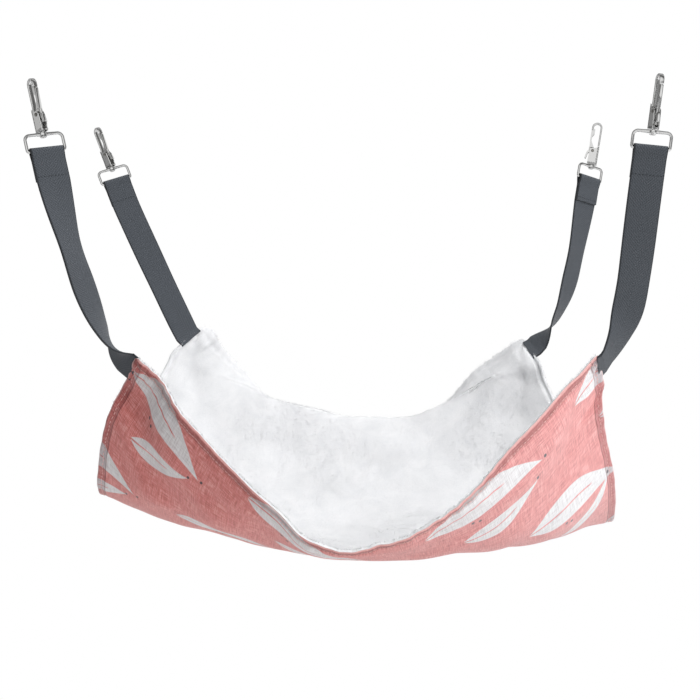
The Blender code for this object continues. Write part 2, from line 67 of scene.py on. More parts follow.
# The hanging bed. Sizes are those of the frame's model; a row of guides runs from
# the left short edge to the right one, in shares of half length, half depth, drop.
bed = {
    "flatLength": 494 * mm, "flatDepth": 380 * mm, "cornerRound": 5 * mm,
    "halfLength": 210 * mm, "halfDepth": 170 * mm, "drop": 367 * mm,
    "guides": [
        [(-0.746, -0.841, -0.547), (-0.545, -0.924, -0.676), (-0.302, -0.971, -0.819),
         (0.002, -1.000, -0.928), (0.345, -0.988, -0.852), (0.622, -0.941, -0.691),
         (0.903, -0.859, -0.544)],
        [(-0.794, -0.720, -0.594), (-0.603, -0.827, -0.744), (-0.318, -0.900, -0.852),
         (0.002, -0.938, -0.942), (0.361, -0.915, -0.877), (0.672, -0.842, -0.761),
         (0.923, -0.723, -0.587)],
        [(-0.877, -0.659, -0.689), (-0.631, -0.765, -0.777), (-0.331, -0.829, -0.874),
         (0.002, -0.876, -0.949), (0.374, -0.841, -0.904), (0.698, -0.776, -0.797),
         (0.917, -0.682, -0.647)],
        [(-0.940, -0.412, -0.824), (-0.664, -0.559, -0.878), (-0.350, -0.582, -0.938),
         (0.012, -0.588, -0.978), (0.402, -0.588, -0.964), (0.745, -0.541, -0.932),
         (1.006, -0.424, -0.818)],
        [(-0.971, -0.088, -0.871), (-0.674, -0.118, -0.925), (-0.359, -0.118, -0.973),
         (0.012, -0.118, -0.996), (0.417, -0.118, -0.985), (0.769, -0.118, -0.963),
         (1.056, -0.059, -0.936)],
        [(-0.926, 0.294, -0.797), (-0.650, 0.353, -0.854), (-0.331, 0.365, -0.914),
         (0.022, 0.353, -0.942), (0.417, 0.365, -0.920), (0.755, 0.341, -0.887),
         (0.998, 0.324, -0.838)],
        [(-0.836, 0.588, -0.661), (-0.550, 0.735, -0.663), (-0.274, 0.765, -0.725),
         (0.060, 0.747, -0.762), (0.355, 0.759, -0.747), (0.631, 0.759, -0.662),
         (0.883, 0.618, -0.669)],
        [(-0.745, 0.774, -0.558), (-0.540, 0.776, -0.651), (-0.269, 0.802, -0.717),
         (0.065, 0.829, -0.769), (0.350, 0.806, -0.741), (0.628, 0.770, -0.661),
         (0.835, 0.725, -0.586)],
        [(-0.648, 0.847, -0.516), (-0.502, 0.935, -0.622), (-0.255, 0.947, -0.751),
         (0.069, 0.929, -0.828), (0.345, 0.947, -0.778), (0.593, 0.935, -0.627),
         (0.793, 0.859, -0.546)]],
    # main folds: place along, place across, direction in turns, length, width, rise
    "folds": [
        (0.13, 0.16, 0.10, 0.16, 0.030, 0.006), (0.22, 0.12, 0.06, 0.14, 0.028, -0.005),
        (0.86, 0.17, -0.11, 0.16, 0.032, 0.006), (0.76, 0.11, -0.05, 0.13, 0.026, -0.005),
        (0.12, 0.84, -0.11, 0.15, 0.030, -0.006), (0.88, 0.83, 0.11, 0.15, 0.030, -0.006),
        (0.56, 0.03, 0.22, 0.09, 0.020, 0.003), (0.42, 0.00, 0.00, 0.035, 0.060, -0.010),
        (0.06, 0.00, 0.00, 0.050, 0.060, 0.011), (0.93, 0.00, 0.00, 0.045, 0.060, 0.006)],
    # fine pulls out of each corner
    "fanRise": 0.9 * mm, "fanReach": 85 * mm, "fanStart": 12 * mm, "fanRays": 9, "fanShift": 1.3,
    # puckers along the stitching, which drift in place and in strength
    "puckerRise": 0.6 * mm, "puckerPitch": 13 * mm, "puckerReach": 12 * mm, "puckerDrift": (2.1, 31 * mm),
    "puckerStrength": (0.55, 0.45, 47 * mm, 1.1),
    "creases": 14, "creaseSizes": (26, 85), "creaseSlope": 0.0042,
    # a sharp fold is eased in so many rounds: the turn where it starts, how soon it is full, and each step
    "easeRounds": 24, "easeFrom": 0.85, "easeSpan": 0.5, "easeStep": 0.25,
    # the stiff corner that the strap is sewn to, and how far its flat runs out past it
    "stitchInset": 5.5 * mm, "seamCell": (19 * mm, 29 * mm), "seamFade": 1.6,
    "hemCell": 1.1 * mm, "hemWidth": 13.2 * mm, "cell": 3.3 * mm, "crossSteps": 241,
    "lipWidth": 2.2 * mm, "quiltRise": 6 * mm, "spreadReach": 3 * mm,
}


# Colour and nodes

def linearColour(hexText):
    parts = [int(hexText[k:k + 2], 16) / 255 for k in (0, 2, 4)]
    return (*[c / 12.92 if c <= 0.04045 else ((c + 0.055) / 1.055) ** 2.4 for c in parts], 1)


# a node's inputs, in their order or by name: an output is linked, anything else is set
def setInputs(tree, node, inputs):
    for key, value in inputs.items() if isinstance(inputs, dict) else enumerate(inputs):
        if isinstance(value, bpy.types.NodeSocket):
            tree.links.new(value, node.inputs[key])
        else:
            node.inputs[key].default_value = value


# stops are a colour ramp's places and colours
def addNode(tree, kind, inputs=(), output=0, stops=(), **settings):
    node = tree.nodes.new("ShaderNode" + kind)
    for name, value in settings.items():
        setattr(node, name, value)
    for place, colour in stops:
        node.color_ramp.elements.new(place).color = colour
    for end in (0, -1) if stops else ():
        node.color_ramp.elements.remove(node.color_ramp.elements[end])
    setInputs(tree, node, inputs)
    return node.outputs[output]


def newMaterial(name):
    material = bpy.data.materials.new(name)
    material.use_nodes = True
    tree = material.node_tree
    return material, tree, tree.nodes["Principled BSDF"]


# Cloth: the panel's face as a fine grid over its flat cut

def unit(vectors):
    return vectors / np.linalg.norm(vectors, axis=-1, keepdims=True)


# length so far at each of a row of places
def runLength(places):
    return np.concatenate([[0], np.cumsum(np.linalg.norm(np.diff(places, axis=0), axis=1))])


def ease(t):
    t = np.clip(t, 0, 1)
    return t * t * (3 - 2 * t)


def smoothCurve(points, t):
    last = len(points) - 1
    place = np.clip(t, 0, 1) * last
    i = np.minimum(place.astype(int), last - 1)
    s = (place - i).reshape(-1, *[1] * (points.ndim - 1))
    padded = np.concatenate([[2 * points[0] - points[1]], points, [2 * points[-1] - points[-2]]])
    a, b, c, d = (padded[i + k] for k in range(4))
    return b + 0.5 * s * (c - a + s * (2 * a - 5 * b + 4 * c - d + s * (3 * (b - c) + d - a)))


def gridStops(size):
    # lines of the fine grid, closer together over the hem
    hem = np.arange(0, bed["hemWidth"] - 1e-9, bed["hemCell"])
    middle = np.linspace(bed["hemWidth"], size - bed["hemWidth"], int(size / bed["cell"]))
    return np.concatenate([hem, middle, size - hem[::-1]])


def roundCorners(x, y):
    # moves the places in each corner's square onto a quarter disc
    length, depth, r = bed["flatLength"], bed["flatDepth"], bed["cornerRound"]
    a = np.clip((r - np.minimum(x, length - x)) / r, 0, 1)
    b = np.clip((r - np.minimum(y, depth - y)) / r, 0, 1)
    share = np.maximum(a, b) / np.maximum(np.hypot(a, b), 1e-9)
    moveX, moveY = r * a * (1 - share), r * b * (1 - share)
    return x + np.where(x < length / 2, moveX, -moveX), y + np.where(y < depth / 2, moveY, -moveY)


def edgeDistance(x, y):
    a, b = np.minimum(x, bed["flatLength"] - x), np.minimum(y, bed["flatDepth"] - y)
    r = bed["cornerRound"]
    return np.where((a < r) & (b < r), r - np.hypot(r - a, r - b), np.minimum(a, b))


def wrinkles(x, y):
    length, depth = bed["flatLength"], bed["flatDepth"]
    height = np.zeros_like(x)
    for place, across, turn, long, wide, rise in bed["folds"]:
        angle = 2 * math.pi * turn
        dx, dy = x - place * length, y - across * depth
        u = (dx * math.cos(angle) + dy * math.sin(angle)) / (long * length)
        v = (dy * math.cos(angle) - dx * math.sin(angle)) / (wide * length)
        height += rise * length * np.exp(-u * u - v * v)
    for k, (cx, cy) in enumerate(((0, 0), (length, 0), (0, depth), (length, depth))):
        dx, dy = np.abs(x - cx), np.abs(y - cy)
        r = np.hypot(dx, dy)
        ray = np.arctan2(dy, dx)
        rightSideLight = np.exp(-r / bed["fanReach"]) * (1 - np.exp(-r / bed["fanStart"]))
        height += bed["fanRise"] * rightSideLight * np.cos(bed["fanRays"] * ray + bed["fanShift"] * k)
    edge = edgeDistance(x, y)
    along = np.where(np.minimum(x, length - x) < np.minimum(y, depth - y), y, x)
    drift, driftLength = bed["puckerDrift"]
    wave = np.sin(2 * math.pi * along / bed["puckerPitch"] + drift * np.sin(along / driftLength))
    least, swing, swingLength, shift = bed["puckerStrength"]
    strength = least + swing * np.sin(along / swingLength + shift)
    height += bed["puckerRise"] * strength * wave * np.exp(-np.abs(edge - bed["stitchInset"]) / bed["puckerReach"])
    waves = np.random.default_rng(3)
    for _ in range(bed["creases"]):
        size = waves.uniform(*bed["creaseSizes"]) * mm
        angle, phase = waves.uniform(0, 2 * math.pi, 2)
        across = x * math.cos(angle) + y * math.sin(angle)
        height += bed["creaseSlope"] * size * np.sin(2 * math.pi * across / size + phase)
    return height


def normalsOf(points):
    along = np.gradient(points, axis=0)
    across = np.gradient(points, axis=1)
    return unit(np.cross(along, across))


def levelCorners(points, x, y):
    # the strap pulls the doubled cloth of each corner flat
    for cx, cy in ((0, 0), (-1, 0), (0, -1), (-1, -1)):
        acrossX, acrossY = np.abs(x[:, 0] - x[cx, 0]), np.abs(y[0] - y[0, cy])
        i = int(np.argmin(np.abs(acrossX - bed["seamCell"][0])))
        j = int(np.argmin(np.abs(acrossY - bed["seamCell"][1])))
        a, b, c = points[i, cy], points[cx, j], points[i, j]
        u, v = (acrossX / acrossX[i])[:, None], (acrossY / acrossY[j])[None, :]
        plane = c + (1 - u)[:, :, None] * (b - c) + (1 - v)[:, :, None] * (a - c)
        share = ease((bed["seamFade"] - np.maximum(u, v)) / (bed["seamFade"] - 1))[:, :, None]
        points = points * (1 - share) + plane * share
    return points


# a fold of two thick layers stays open: the cloth is eased wherever a row of places turns back sharply
def openBends(points):
    for _ in range(bed["easeRounds"]):
        back, ahead = points[:, 1:-1] - points[:, :-2], points[:, 2:] - points[:, 1:-1]
        turn = np.sum(unit(back) * unit(ahead), axis=2)
        share = np.clip((bed["easeFrom"] - turn) / bed["easeSpan"], 0, 1)[:, :, None]
        points[:, 1:-1] += share * bed["easeStep"] * (ahead - back)
    return points


def makeFace():
    xs, ys = gridStops(bed["flatLength"]), gridStops(bed["flatDepth"])
    size = np.array([bed["halfLength"], bed["halfDepth"], bed["drop"]])
    rows = [smoothCurve(np.array(row) * size, xs / bed["flatLength"]) for row in bed["guides"]]
    points = np.zeros((len(xs), len(ys), 3))
    for i in range(len(xs)):
        fine = smoothCurve(np.array([row[i] for row in rows]), np.linspace(0, 1, bed["crossSteps"]))
        along = runLength(fine)
        for k in range(3):
            points[i, :, k] = np.interp(ys / bed["flatDepth"], along / along[-1], fine[:, k])
    x, y = np.meshgrid(xs, ys, indexing="ij")
    points = levelCorners(openBends(points), x, y)
    points += normalsOf(points) * wrinkles(x, y)[:, :, None]
    return {"xs": xs, "ys": ys, "x": x, "y": y, "points": points, "normals": normalsOf(points)}


face = makeFace()


# points and normals of the hanging cloth at places of its flat cut
def onCloth(x, y, height=0.0):
    i = np.clip(np.searchsorted(face["xs"], x) - 1, 0, len(face["xs"]) - 2)
    j = np.clip(np.searchsorted(face["ys"], y) - 1, 0, len(face["ys"]) - 2)
    u = ((x - face["xs"][i]) / (face["xs"][i + 1] - face["xs"][i]))[:, None]
    v = ((y - face["ys"][j]) / (face["ys"][j + 1] - face["ys"][j]))[:, None]
    found = []
    for grid in (face["points"], face["normals"]):
        found.append((grid[i, j] * (1 - u) + grid[i + 1, j] * u) * (1 - v)
                     + (grid[i, j + 1] * (1 - u) + grid[i + 1, j + 1] * u) * v)
    normals = unit(found[1])
    return found[0] + normals * np.reshape(height, (-1, 1)), normals


# Meshes

def addPiece(name, vertices, faces, material, uv=None, smooth=True):
    mesh = bpy.data.meshes.new(name)
    mesh.from_pydata([tuple(v) for v in np.asarray(vertices)], [], faces)
    if uv is not None:
        layer = mesh.uv_layers.new(name="flat")
        corners = np.empty(len(mesh.loops), dtype=np.int64)
        mesh.loops.foreach_get("vertex_index", corners)
        layer.data.foreach_set("uv", np.asarray(uv)[corners].astype(np.float32).ravel())
    mesh.materials.append(material)
    if smooth:
        mesh.shade_smooth()
    piece = bpy.data.objects.new(name, mesh)
    bpy.context.collection.objects.link(piece)
    return piece


# moves places out over the rear hem, by an amount that follows the hem
def spreadOut(x, y, spread):
    return y + np.interp(x, *np.transpose(spread) * mm) * np.exp(-(bed["flatDepth"] - y) / bed["spreadReach"])


# one face of a layer: the grid of the flat cut, lifted off the panel's face
def clothPiece(name, liftAt, material, flipped, rearSpread=((0, 0),)):
    wide, deep = face["x"].shape
    x, y = roundCorners(face["x"].ravel(), face["y"].ravel())
    edge = edgeDistance(x, y)
    vertices, _ = onCloth(x, spreadOut(x, y, rearSpread), liftAt(edge))
    faces = []
    for i in range(wide - 1):
        for j in range(deep - 1):
            k = i * deep + j
            cell = (k, k + deep, k + deep + 1, k + 1)
            faces.append(cell[::-1] if flipped else cell)
    return addPiece(name, vertices, faces, material, np.stack([x, y], axis=1))


# height over the face: out of the seam, over a lip, down to the stitching, up to the full height
def quiltLift(edge, shape):
    lipWidth, stitch = bed["lipWidth"], bed["stitchInset"]
    rise = shape["lip"] * np.sqrt(np.clip(1 - (1 - np.clip(edge / lipWidth, 0, 1)) ** 2, 0, 1))
    down = (shape["lip"] - shape["dip"]) * ease((edge - lipWidth) / (stitch - lipWidth))
    up = (shape["full"] - shape["dip"]) * ease((edge - stitch) / bed["quiltRise"])
    return shape["start"] + rise - down + up


# faces between rings of places, one ring after another, and over the two ends where they stay open
def ringFaces(rings, count, start=0, closed=False):
    faces = []
    for i in range(rings if closed else rings - 1):
        near, far = start + i * count, start + (i + 1) % rings * count
        for k in range(count):
            n = (k + 1) % count
            faces.append((near + k, near + n, far + n, far + k))
    if not closed:
        last = start + (rings - 1) * count
        faces += [tuple(reversed(range(start, start + count))), tuple(range(last, last + count))]
    return faces


# one closed part of a piece, its faces turned outward
def closedPart(vertices, faces):
    vertices = np.array(vertices, dtype=float)
    fans = np.array([(loop[0], loop[k], loop[k + 1]) for loop in faces for k in range(1, len(loop) - 1)])
    a, b, c = vertices[fans.T]
    return vertices, faces if np.sum(a * np.cross(b, c)) > 0 else [loop[::-1] for loop in faces]


# Thread: short stitches laid along a line

sewing = {
    "pitch": 3.6 * mm, "length": 2.7 * mm, "sides": 6,
    # a stitch's rings: place along it, width and rise, in shares of its length and radius
    "rings": [(-0.5, 0.35, -0.9), (-0.3, 0.9, 0.1), (0.0, 1.0, 0.35), (0.3, 0.9, 0.1), (0.5, 0.35, -0.9)],
}


def stitches(name, points, normals, ways, length, radius, material):
    vertices, faces, sides = [], [], sewing["sides"]
    for place, normal, way in zip(points, normals, ways):
        side = np.cross(normal, way)
        faces += ringFaces(len(sewing["rings"]), sides, len(vertices))
        for along, wide, rise in sewing["rings"]:
            for k in range(sides):
                angle = 2 * math.pi * k / sides
                vertices.append(place + way * (along * length) + normal * (rise * radius)
                                + (side * math.cos(angle) + normal * math.sin(angle)) * radius * wide)
    return addPiece(name, vertices, faces, material)


# flat places at even steps along the cut's outline, moved in by inset
def insetLine(inset, pitch):
    length, depth = bed["flatLength"] - inset, bed["flatDepth"] - inset
    outline = np.array([(inset, inset), (length, inset), (length, depth), (inset, depth), (inset, inset)])
    along = runLength(outline)
    count = int(along[-1] / pitch)
    at = (np.arange(count) + 0.5) * along[-1] / count
    return [np.stack([np.interp(t, along, outline[:, k]) for k in (0, 1)], axis=1) for t in (at, at + pitch / 4)]


def seamStitches(name, radius, height, side, material):
    at, ahead = insetLine(bed["stitchInset"], sewing["pitch"])
    points, normals = onCloth(at[:, 0], at[:, 1], height)
    following, _ = onCloth(ahead[:, 0], ahead[:, 1], height)
    return stitches(name, points, normals * side, unit(following - points), sewing["length"], radius, material)


# Materials

# places of the flat cut in millimetres, and their X and Y
def flatPlaces(tree):
    place = addNode(tree, "UVMap", uv_map="flat")
    flat = addNode(tree, "VectorMath", {0: place, "Scale": 1 / mm}, operation="SCALE")
    return flat, addNode(tree, "SeparateXYZ", (flat,)), addNode(tree, "SeparateXYZ", (flat,), 1)


cotton = {   # sizes in millimetres
    "ground": ("c06760", "e0807a", "f3b2ac"), "pale": ("cfc6c6", "e6e0e0", "f8f5f5"),    # gaps, threads, slubs
    "slub": (1.25, 0.07), "threadPitch": 1.1, "seed": "4a3a3a", "seedRadius": 1.3,
    "rightSideLight": "5a666a", "rightSideLightFrom": 230, "rightSideLightTo": 400,    # painted light: paler to the right, the side the key lamp lights
    # the hem: width of the turning, and from the edge inwards where each painted shade and highlight starts and is
    # full
    "turning": 9.5, "turningShadeTint": "dcd4d6", "rimShadeTint": "c8baba", "rim": (0.9, 0.3),
    "creaseShadeTint": "cdbfbf", "creaseNear": (1.3, 2.0), "creaseFar": (8.5, 5.0),
    "edgeHighlight": "f3cdc8", "edgeHighlightReach": (1.5, 0.8), "edgeHighlightShare": 0.55, "rearEdge": (2.8, 2.0),
    "ribWidth": (0.35, 0.8), "ribEnd": (0.25, 0.35), "tipLean": -0.45,
    "leaves": [
        {"cell": (152, 74), "shift": (0.12, 0.30), "stagger": 0.43, "turn": (-0.42, 0.05),
         "halfLength": 55, "halfWidth": 12.5, "bend": 9, "seeds": [(58, 8), (-14, 17), (-8, 19)]},
        {"cell": (152, 74), "shift": (0.62, 0.82), "stagger": 0.43, "turn": (0.15, 0.55),
         "halfLength": 36, "halfWidth": 9, "bend": -6, "seeds": [(36, -7)]}],
}


# coral cotton, plain woven and printed: matte, with slubs in both thread directions
def printedCotton():
    material, tree, shader = newMaterial("printedCotton")
    _, x, y = flatPlaces(tree)
    colour = weaveColour(tree, x, y, cotton["ground"])
    leaf, seed = leafMasks(tree, x, y)
    # painted light: a paler wash added towards the right end, the lamp-lit side
    rightSideLightShare = addNode(tree, "MapRange", (x, cotton["rightSideLightFrom"], cotton["rightSideLightTo"]))
    for share, tint, way in ((leaf, weaveColour(tree, x, y, cotton["pale"]), "MIX"),
                             (seed, linearColour(cotton["seed"]), "MIX"),
                             (rightSideLightShare, linearColour(cotton["rightSideLight"]), "ADD"), *hemLayers(tree, x, y)):
        colour = addNode(tree, "Mix", {0: share, 6: colour, 7: tint}, 2, data_type="RGBA", blend_type=way)
    bump = addNode(tree, "Bump", {"Height": weaveHeight(tree, x, y), "Strength": 0.35, "Distance": 0.3 * mm})
    setInputs(tree, shader, {"Base Color": colour, "Normal": bump, "Roughness": 0.7, "Specular IOR Level": 0.5,
                             "Sheen Weight": 0.35, "Sheen Roughness": 0.5})
    return material


# the hem: painted shade over its doubled band on the short edges and along its stitching, a painted highlight along
# its rolled edge, plush over the rear one
def hemLayers(tree, x, y):
    length, depth, turning = bed["flatLength"] / mm, bed["flatDepth"] / mm, cotton["turning"]
    insets = []
    for place, size in ((x, length), (y, depth)):
        centred = addNode(tree, "Math", (place, size / 2), operation="SUBTRACT")
        centred = addNode(tree, "Math", (centred,), operation="ABSOLUTE")
        insets.append(addNode(tree, "Math", (size / 2, centred), operation="SUBTRACT"))
    # painted shade: the doubled band on the short edges darker, with a darker line along its inner edge
    band = addNode(tree, "MapRange", (insets[0], turning + 0.3, turning - 0.3))
    rim = addNode(tree, "Math", (insets[0], turning), operation="SUBTRACT")
    rim = addNode(tree, "Math", (rim,), operation="ABSOLUTE")
    rim = addNode(tree, "MapRange", (rim, *cotton["rim"]))
    # painted shade: a darker band along the stitching near the front and rear edges
    near, far = (addNode(tree, "MapRange", (insets[1], *cotton[name])) for name in ("creaseNear", "creaseFar"))
    crease = addNode(tree, "Math", (near, far), operation="MULTIPLY")
    edge = addNode(tree, "Math", insets, operation="MINIMUM")
    # painted highlight: paler along the rolled edge of the hem
    edgeHighlight = addNode(tree, "MapRange", (edge, *cotton["edgeHighlightReach"], 0, cotton["edgeHighlightShare"]))
    rear = addNode(tree, "MapRange", (y, *(depth - inset for inset in cotton["rearEdge"])))
    layers = ((band, cotton["turningShadeTint"], "MULTIPLY"), (rim, cotton["rimShadeTint"], "MULTIPLY"),
              (crease, cotton["creaseShadeTint"], "MULTIPLY"), (edgeHighlight, cotton["edgeHighlight"], "MIX"), (rear, plush["tip"], "MIX"))
    return [(share, linearColour(tint), way) for share, tint, way in layers]


# plain weave: each thread over one and under one. The real 0.55 mm pitch is drawn at 1.1 mm to show.
def weaveHeight(tree, x, y):
    waves = []
    for place in (x, y):
        phase = addNode(tree, "Math", (place, math.pi / cotton["threadPitch"]), operation="MULTIPLY")
        waves.append(addNode(tree, "Math", (phase,), operation="SINE"))
    crossing = addNode(tree, "Math", waves, operation="MULTIPLY")
    return addNode(tree, "Math", (crossing,), operation="ABSOLUTE")


# threads of one dye lot still differ: light slubs along both directions, darker gaps
def weaveColour(tree, x, y, tints):
    slubs = []
    for across, along in ((x, y), (y, x)):
        place = addNode(tree, "CombineXYZ", (across, along))
        place = addNode(tree, "VectorMath", (place, (*cotton["slub"], 0)), operation="MULTIPLY")
        slubs.append(addNode(tree, "TexNoise", {"Vector": place, "Scale": 1.0, "Detail": 3.0, "Roughness": 0.75}))
    both = addNode(tree, "Math", slubs, operation="ADD")
    half = addNode(tree, "Math", (both, 0.5), operation="MULTIPLY")
    return addNode(tree, "ValToRGB", (half,), stops=[
        (place, linearColour(tint)) for place, tint in zip((0.40, 0.50, 0.60), tints)])


# the print: long bent leaves with a split rib, in staggered rows, and pairs of small dark seeds
def leafMasks(tree, x, y):
    blades, dots = [], []
    for leaf in cotton["leaves"]:
        (cellX, cellY), (shiftX, shiftY) = leaf["cell"], leaf["shift"]
        row = addNode(tree, "Math", (y, 1 / cellY, shiftY), operation="MULTIPLY_ADD")
        rowIndex = addNode(tree, "Math", (row,), operation="FLOOR")
        column = addNode(tree, "Math", (x, 1 / cellX, shiftX), operation="MULTIPLY_ADD")
        column = addNode(tree, "Math", (rowIndex, leaf["stagger"], column), operation="MULTIPLY_ADD")
        columnIndex = addNode(tree, "Math", (column,), operation="FLOOR")
        cell = addNode(tree, "CombineXYZ", (columnIndex, rowIndex, shiftX * 7))
        chance = addNode(tree, "TexWhiteNoise", {"Vector": cell}, noise_dimensions="3D")
        places = []
        for place, size in ((column, cellX), (row, cellY)):
            share = addNode(tree, "Math", (place,), operation="FRACT")
            places.append(addNode(tree, "Math", (share, size, -size / 2), operation="MULTIPLY_ADD"))
        turn = addNode(tree, "MapRange", (chance, 0, 1, *leaf["turn"]))
        centred = addNode(tree, "CombineXYZ", places)
        place = addNode(tree, "VectorRotate", {"Vector": centred, "Angle": turn}, rotation_type="Z_AXIS")
        along, across = (addNode(tree, "SeparateXYZ", (place,), k) for k in (0, 1))
        along = addNode(tree, "Math", (along, 1 / leaf["halfLength"]), operation="MULTIPLY")
        square = addNode(tree, "Math", (along, along), operation="MULTIPLY")
        across = addNode(tree, "Math", (square, -leaf["bend"], across), operation="MULTIPLY_ADD")
        side = addNode(tree, "Math", (across,), operation="ABSOLUTE")
        fall = addNode(tree, "Math", (1, square), operation="SUBTRACT")
        lean = addNode(tree, "Math", (along, cotton["tipLean"], 1), operation="MULTIPLY_ADD")
        width = addNode(tree, "Math", (fall, lean), operation="MULTIPLY")
        width = addNode(tree, "Math", (width, leaf["halfWidth"]), operation="MULTIPLY")
        inside = addNode(tree, "Math", (width, side), operation="SUBTRACT")
        blade = addNode(tree, "MapRange", (inside, -0.15, 0.35))
        rib = addNode(tree, "MapRange", (side, *cotton["ribWidth"]))
        ribEnd = addNode(tree, "MapRange", (along, *cotton["ribEnd"]))
        rib = addNode(tree, "Math", (rib, ribEnd), operation="MAXIMUM")
        blades.append(addNode(tree, "Math", (blade, rib), operation="MULTIPLY"))
        for at in leaf["seeds"]:
            spot = addNode(tree, "VectorMath", (place, (*at, 0)), 1, operation="DISTANCE")
            dots.append(addNode(tree, "MapRange", (spot, cotton["seedRadius"] + 0.2, cotton["seedRadius"] - 0.2)))
    masks = []
    for marks in (blades, dots):
        masks.append(marks[0])
        for mark in marks[1:]:
            masks[-1] = addNode(tree, "Math", (masks[-1], mark), operation="MAXIMUM")
    return masks


plush = {
    "shade": "d6d7d9", "tip": "e6e6e7", "shadeAt": 0.36, "tipAt": 0.60, "fibreShare": 0.6,
    "pile": 1.5 * mm, "lean": 2.1 * mm, "blades": 192000, "bladeWidth": 0.42 * mm, "root": 0.4 * mm,
    "swirlX": 38 * mm, "swirlY": 29 * mm, "fanOut": 2.5, "fanReach": 4 * mm, "sparkle": 0.14,
    # how far the plush stands out over the rear hem, from left to right
    "rearSpread": [(0, 6.5), (14, 8.0), (30, 4.5), (60, 4.0), (85, 5.5), (110, 3.5), (130, 1.8), (450, 1.8),
                   (470, 3.5), (482, 7.5), (494, 6.5)],
}


# polyester plush, cut and brushed by hand: blotches of some 20 mm where the pile leans, and tufts drawn 1 mm
# wide, coarser than the real fibres, so that they show
def shortPlush():
    material, tree, shader = newMaterial("shortPlush")
    place = addNode(tree, "UVMap", uv_map="flat")
    brushed = addNode(tree, "TexNoise", {"Vector": place, "Scale": 48.0, "Detail": 3.0, "Roughness": 0.65,
                                         "Distortion": 0.6})
    fibre = addNode(tree, "TexNoise", {"Vector": place, "Scale": 1100.0, "Detail": 2.0, "Roughness": 0.7})
    tone = addNode(tree, "Mix", {0: plush["fibreShare"], 2: brushed, 3: fibre})
    colour = addNode(tree, "ValToRGB", (tone,), stops=[
        (plush["shadeAt"], linearColour(plush["shade"])), (plush["tipAt"], linearColour(plush["tip"]))])
    bump = addNode(tree, "Bump", {"Height": tone, "Strength": 0.12, "Distance": 1.0 * mm})
    setInputs(tree, shader, {"Base Color": colour, "Normal": bump, "Roughness": 1.0, "Specular IOR Level": 0.1,
                             "Sheen Weight": 0.25, "Sheen Roughness": 0.6})
    return material


# polyester sewing thread: three plies twisted, a soft shine
def threadMaterial(name, colour):
    material, tree, shader = newMaterial(name)
    place = addNode(tree, "TexCoord", output=3)
    twist = addNode(tree, "TexNoise", {"Vector": place, "Scale": 2200.0, "Detail": 1.0})
    bump = addNode(tree, "Bump", {"Height": twist, "Strength": 0.3, "Distance": 0.1 * mm})
    setInputs(tree, shader, {"Base Color": linearColour(colour), "Normal": bump, "Roughness": 0.55})
    return material


webbing = {
    "yarn": "53575d", "shade": "3e4247", "selvedge": "2b2e32", "selvedgeEdge": (11.2, 11.9),
    "ribPitch": 2.2, "yarnPitch": 1.3, "yarnShare": 0.4,    # drawn about twice the real pitches, to show
    "width": 25 * mm, "thickness": 1.5 * mm, "edgeRound": 0.45 * mm, "tail": 22 * mm, "pinch": 8 * mm,
    "gap": 0.3 * mm, "wire": 2.3 * mm, "stitchRow": -19 * mm, "stitchPitch": 2.6 * mm, "stitchReach": 11 * mm,
    "seamGap": 0.4 * mm, "seamLead": 2.5 * mm, "seamStep": 0.9 * mm, "settleShare": 0.95,
}


# polypropylene webbing: twill ribs slant across it, a plain selvedge along each side
def wovenWebbing():
    material, tree, shader = newMaterial("wovenWebbing")
    flat, x, y = flatPlaces(tree)
    centred = addNode(tree, "Math", (x, webbing["width"] / mm / 2), operation="SUBTRACT")
    fold = addNode(tree, "Math", (centred,), operation="ABSOLUTE")
    slant = addNode(tree, "Math", (y, fold), operation="ADD")
    waves = []
    for place, pitch in ((slant, webbing["ribPitch"]), (x, webbing["yarnPitch"])):
        phase = addNode(tree, "Math", (place, 2 * math.pi / pitch), operation="MULTIPLY")
        waves.append(addNode(tree, "Math", (phase,), operation="SINE"))
    height = addNode(tree, "Mix", {0: webbing["yarnShare"], 2: waves[0], 3: waves[1]})
    unit = addNode(tree, "MapRange", (height, -1, 1))
    noise = addNode(tree, "TexNoise", {"Vector": flat, "Scale": 0.9, "Detail": 3.0, "Roughness": 0.7})
    tone = addNode(tree, "Mix", {0: 0.5, 2: unit, 3: noise})
    colour = addNode(tree, "ValToRGB", (tone,), stops=[
        (0.25, linearColour(webbing["shade"])), (0.75, linearColour(webbing["yarn"]))])
    edge = addNode(tree, "MapRange", (fold, *webbing["selvedgeEdge"]))
    colour = addNode(tree, "Mix", {0: edge, 6: colour, 7: linearColour(webbing["selvedge"])}, 2, data_type="RGBA")
    bump = addNode(tree, "Bump", {"Height": unit, "Strength": 0.35, "Distance": 0.3 * mm})
    setInputs(tree, shader, {"Base Color": colour, "Normal": bump, "Roughness": 0.75,
                             "Specular IOR Level": 0.35, "Sheen Weight": 0.15})
    return material


# bright nickel plate on cast zinc: a slightly warm mirror with the haze of tumbling
def nickelPlate():
    material, tree, shader = newMaterial("nickelPlate")
    place = addNode(tree, "TexCoord", output=3)
    haze = addNode(tree, "TexNoise", {"Vector": place, "Scale": 260.0, "Detail": 3.0, "Roughness": 0.6})
    rough = addNode(tree, "MapRange", (haze, 0, 1, 0.07, 0.18))
    waves = addNode(tree, "TexNoise", {"Vector": place, "Scale": 900.0, "Detail": 2.0})
    bump = addNode(tree, "Bump", {"Height": waves, "Strength": 0.08, "Distance": 0.1 * mm})
    setInputs(tree, shader, {"Base Color": linearColour("dcdcdb"), "Normal": bump, "Roughness": rough,
                             "Metallic": 1.0})
    return material


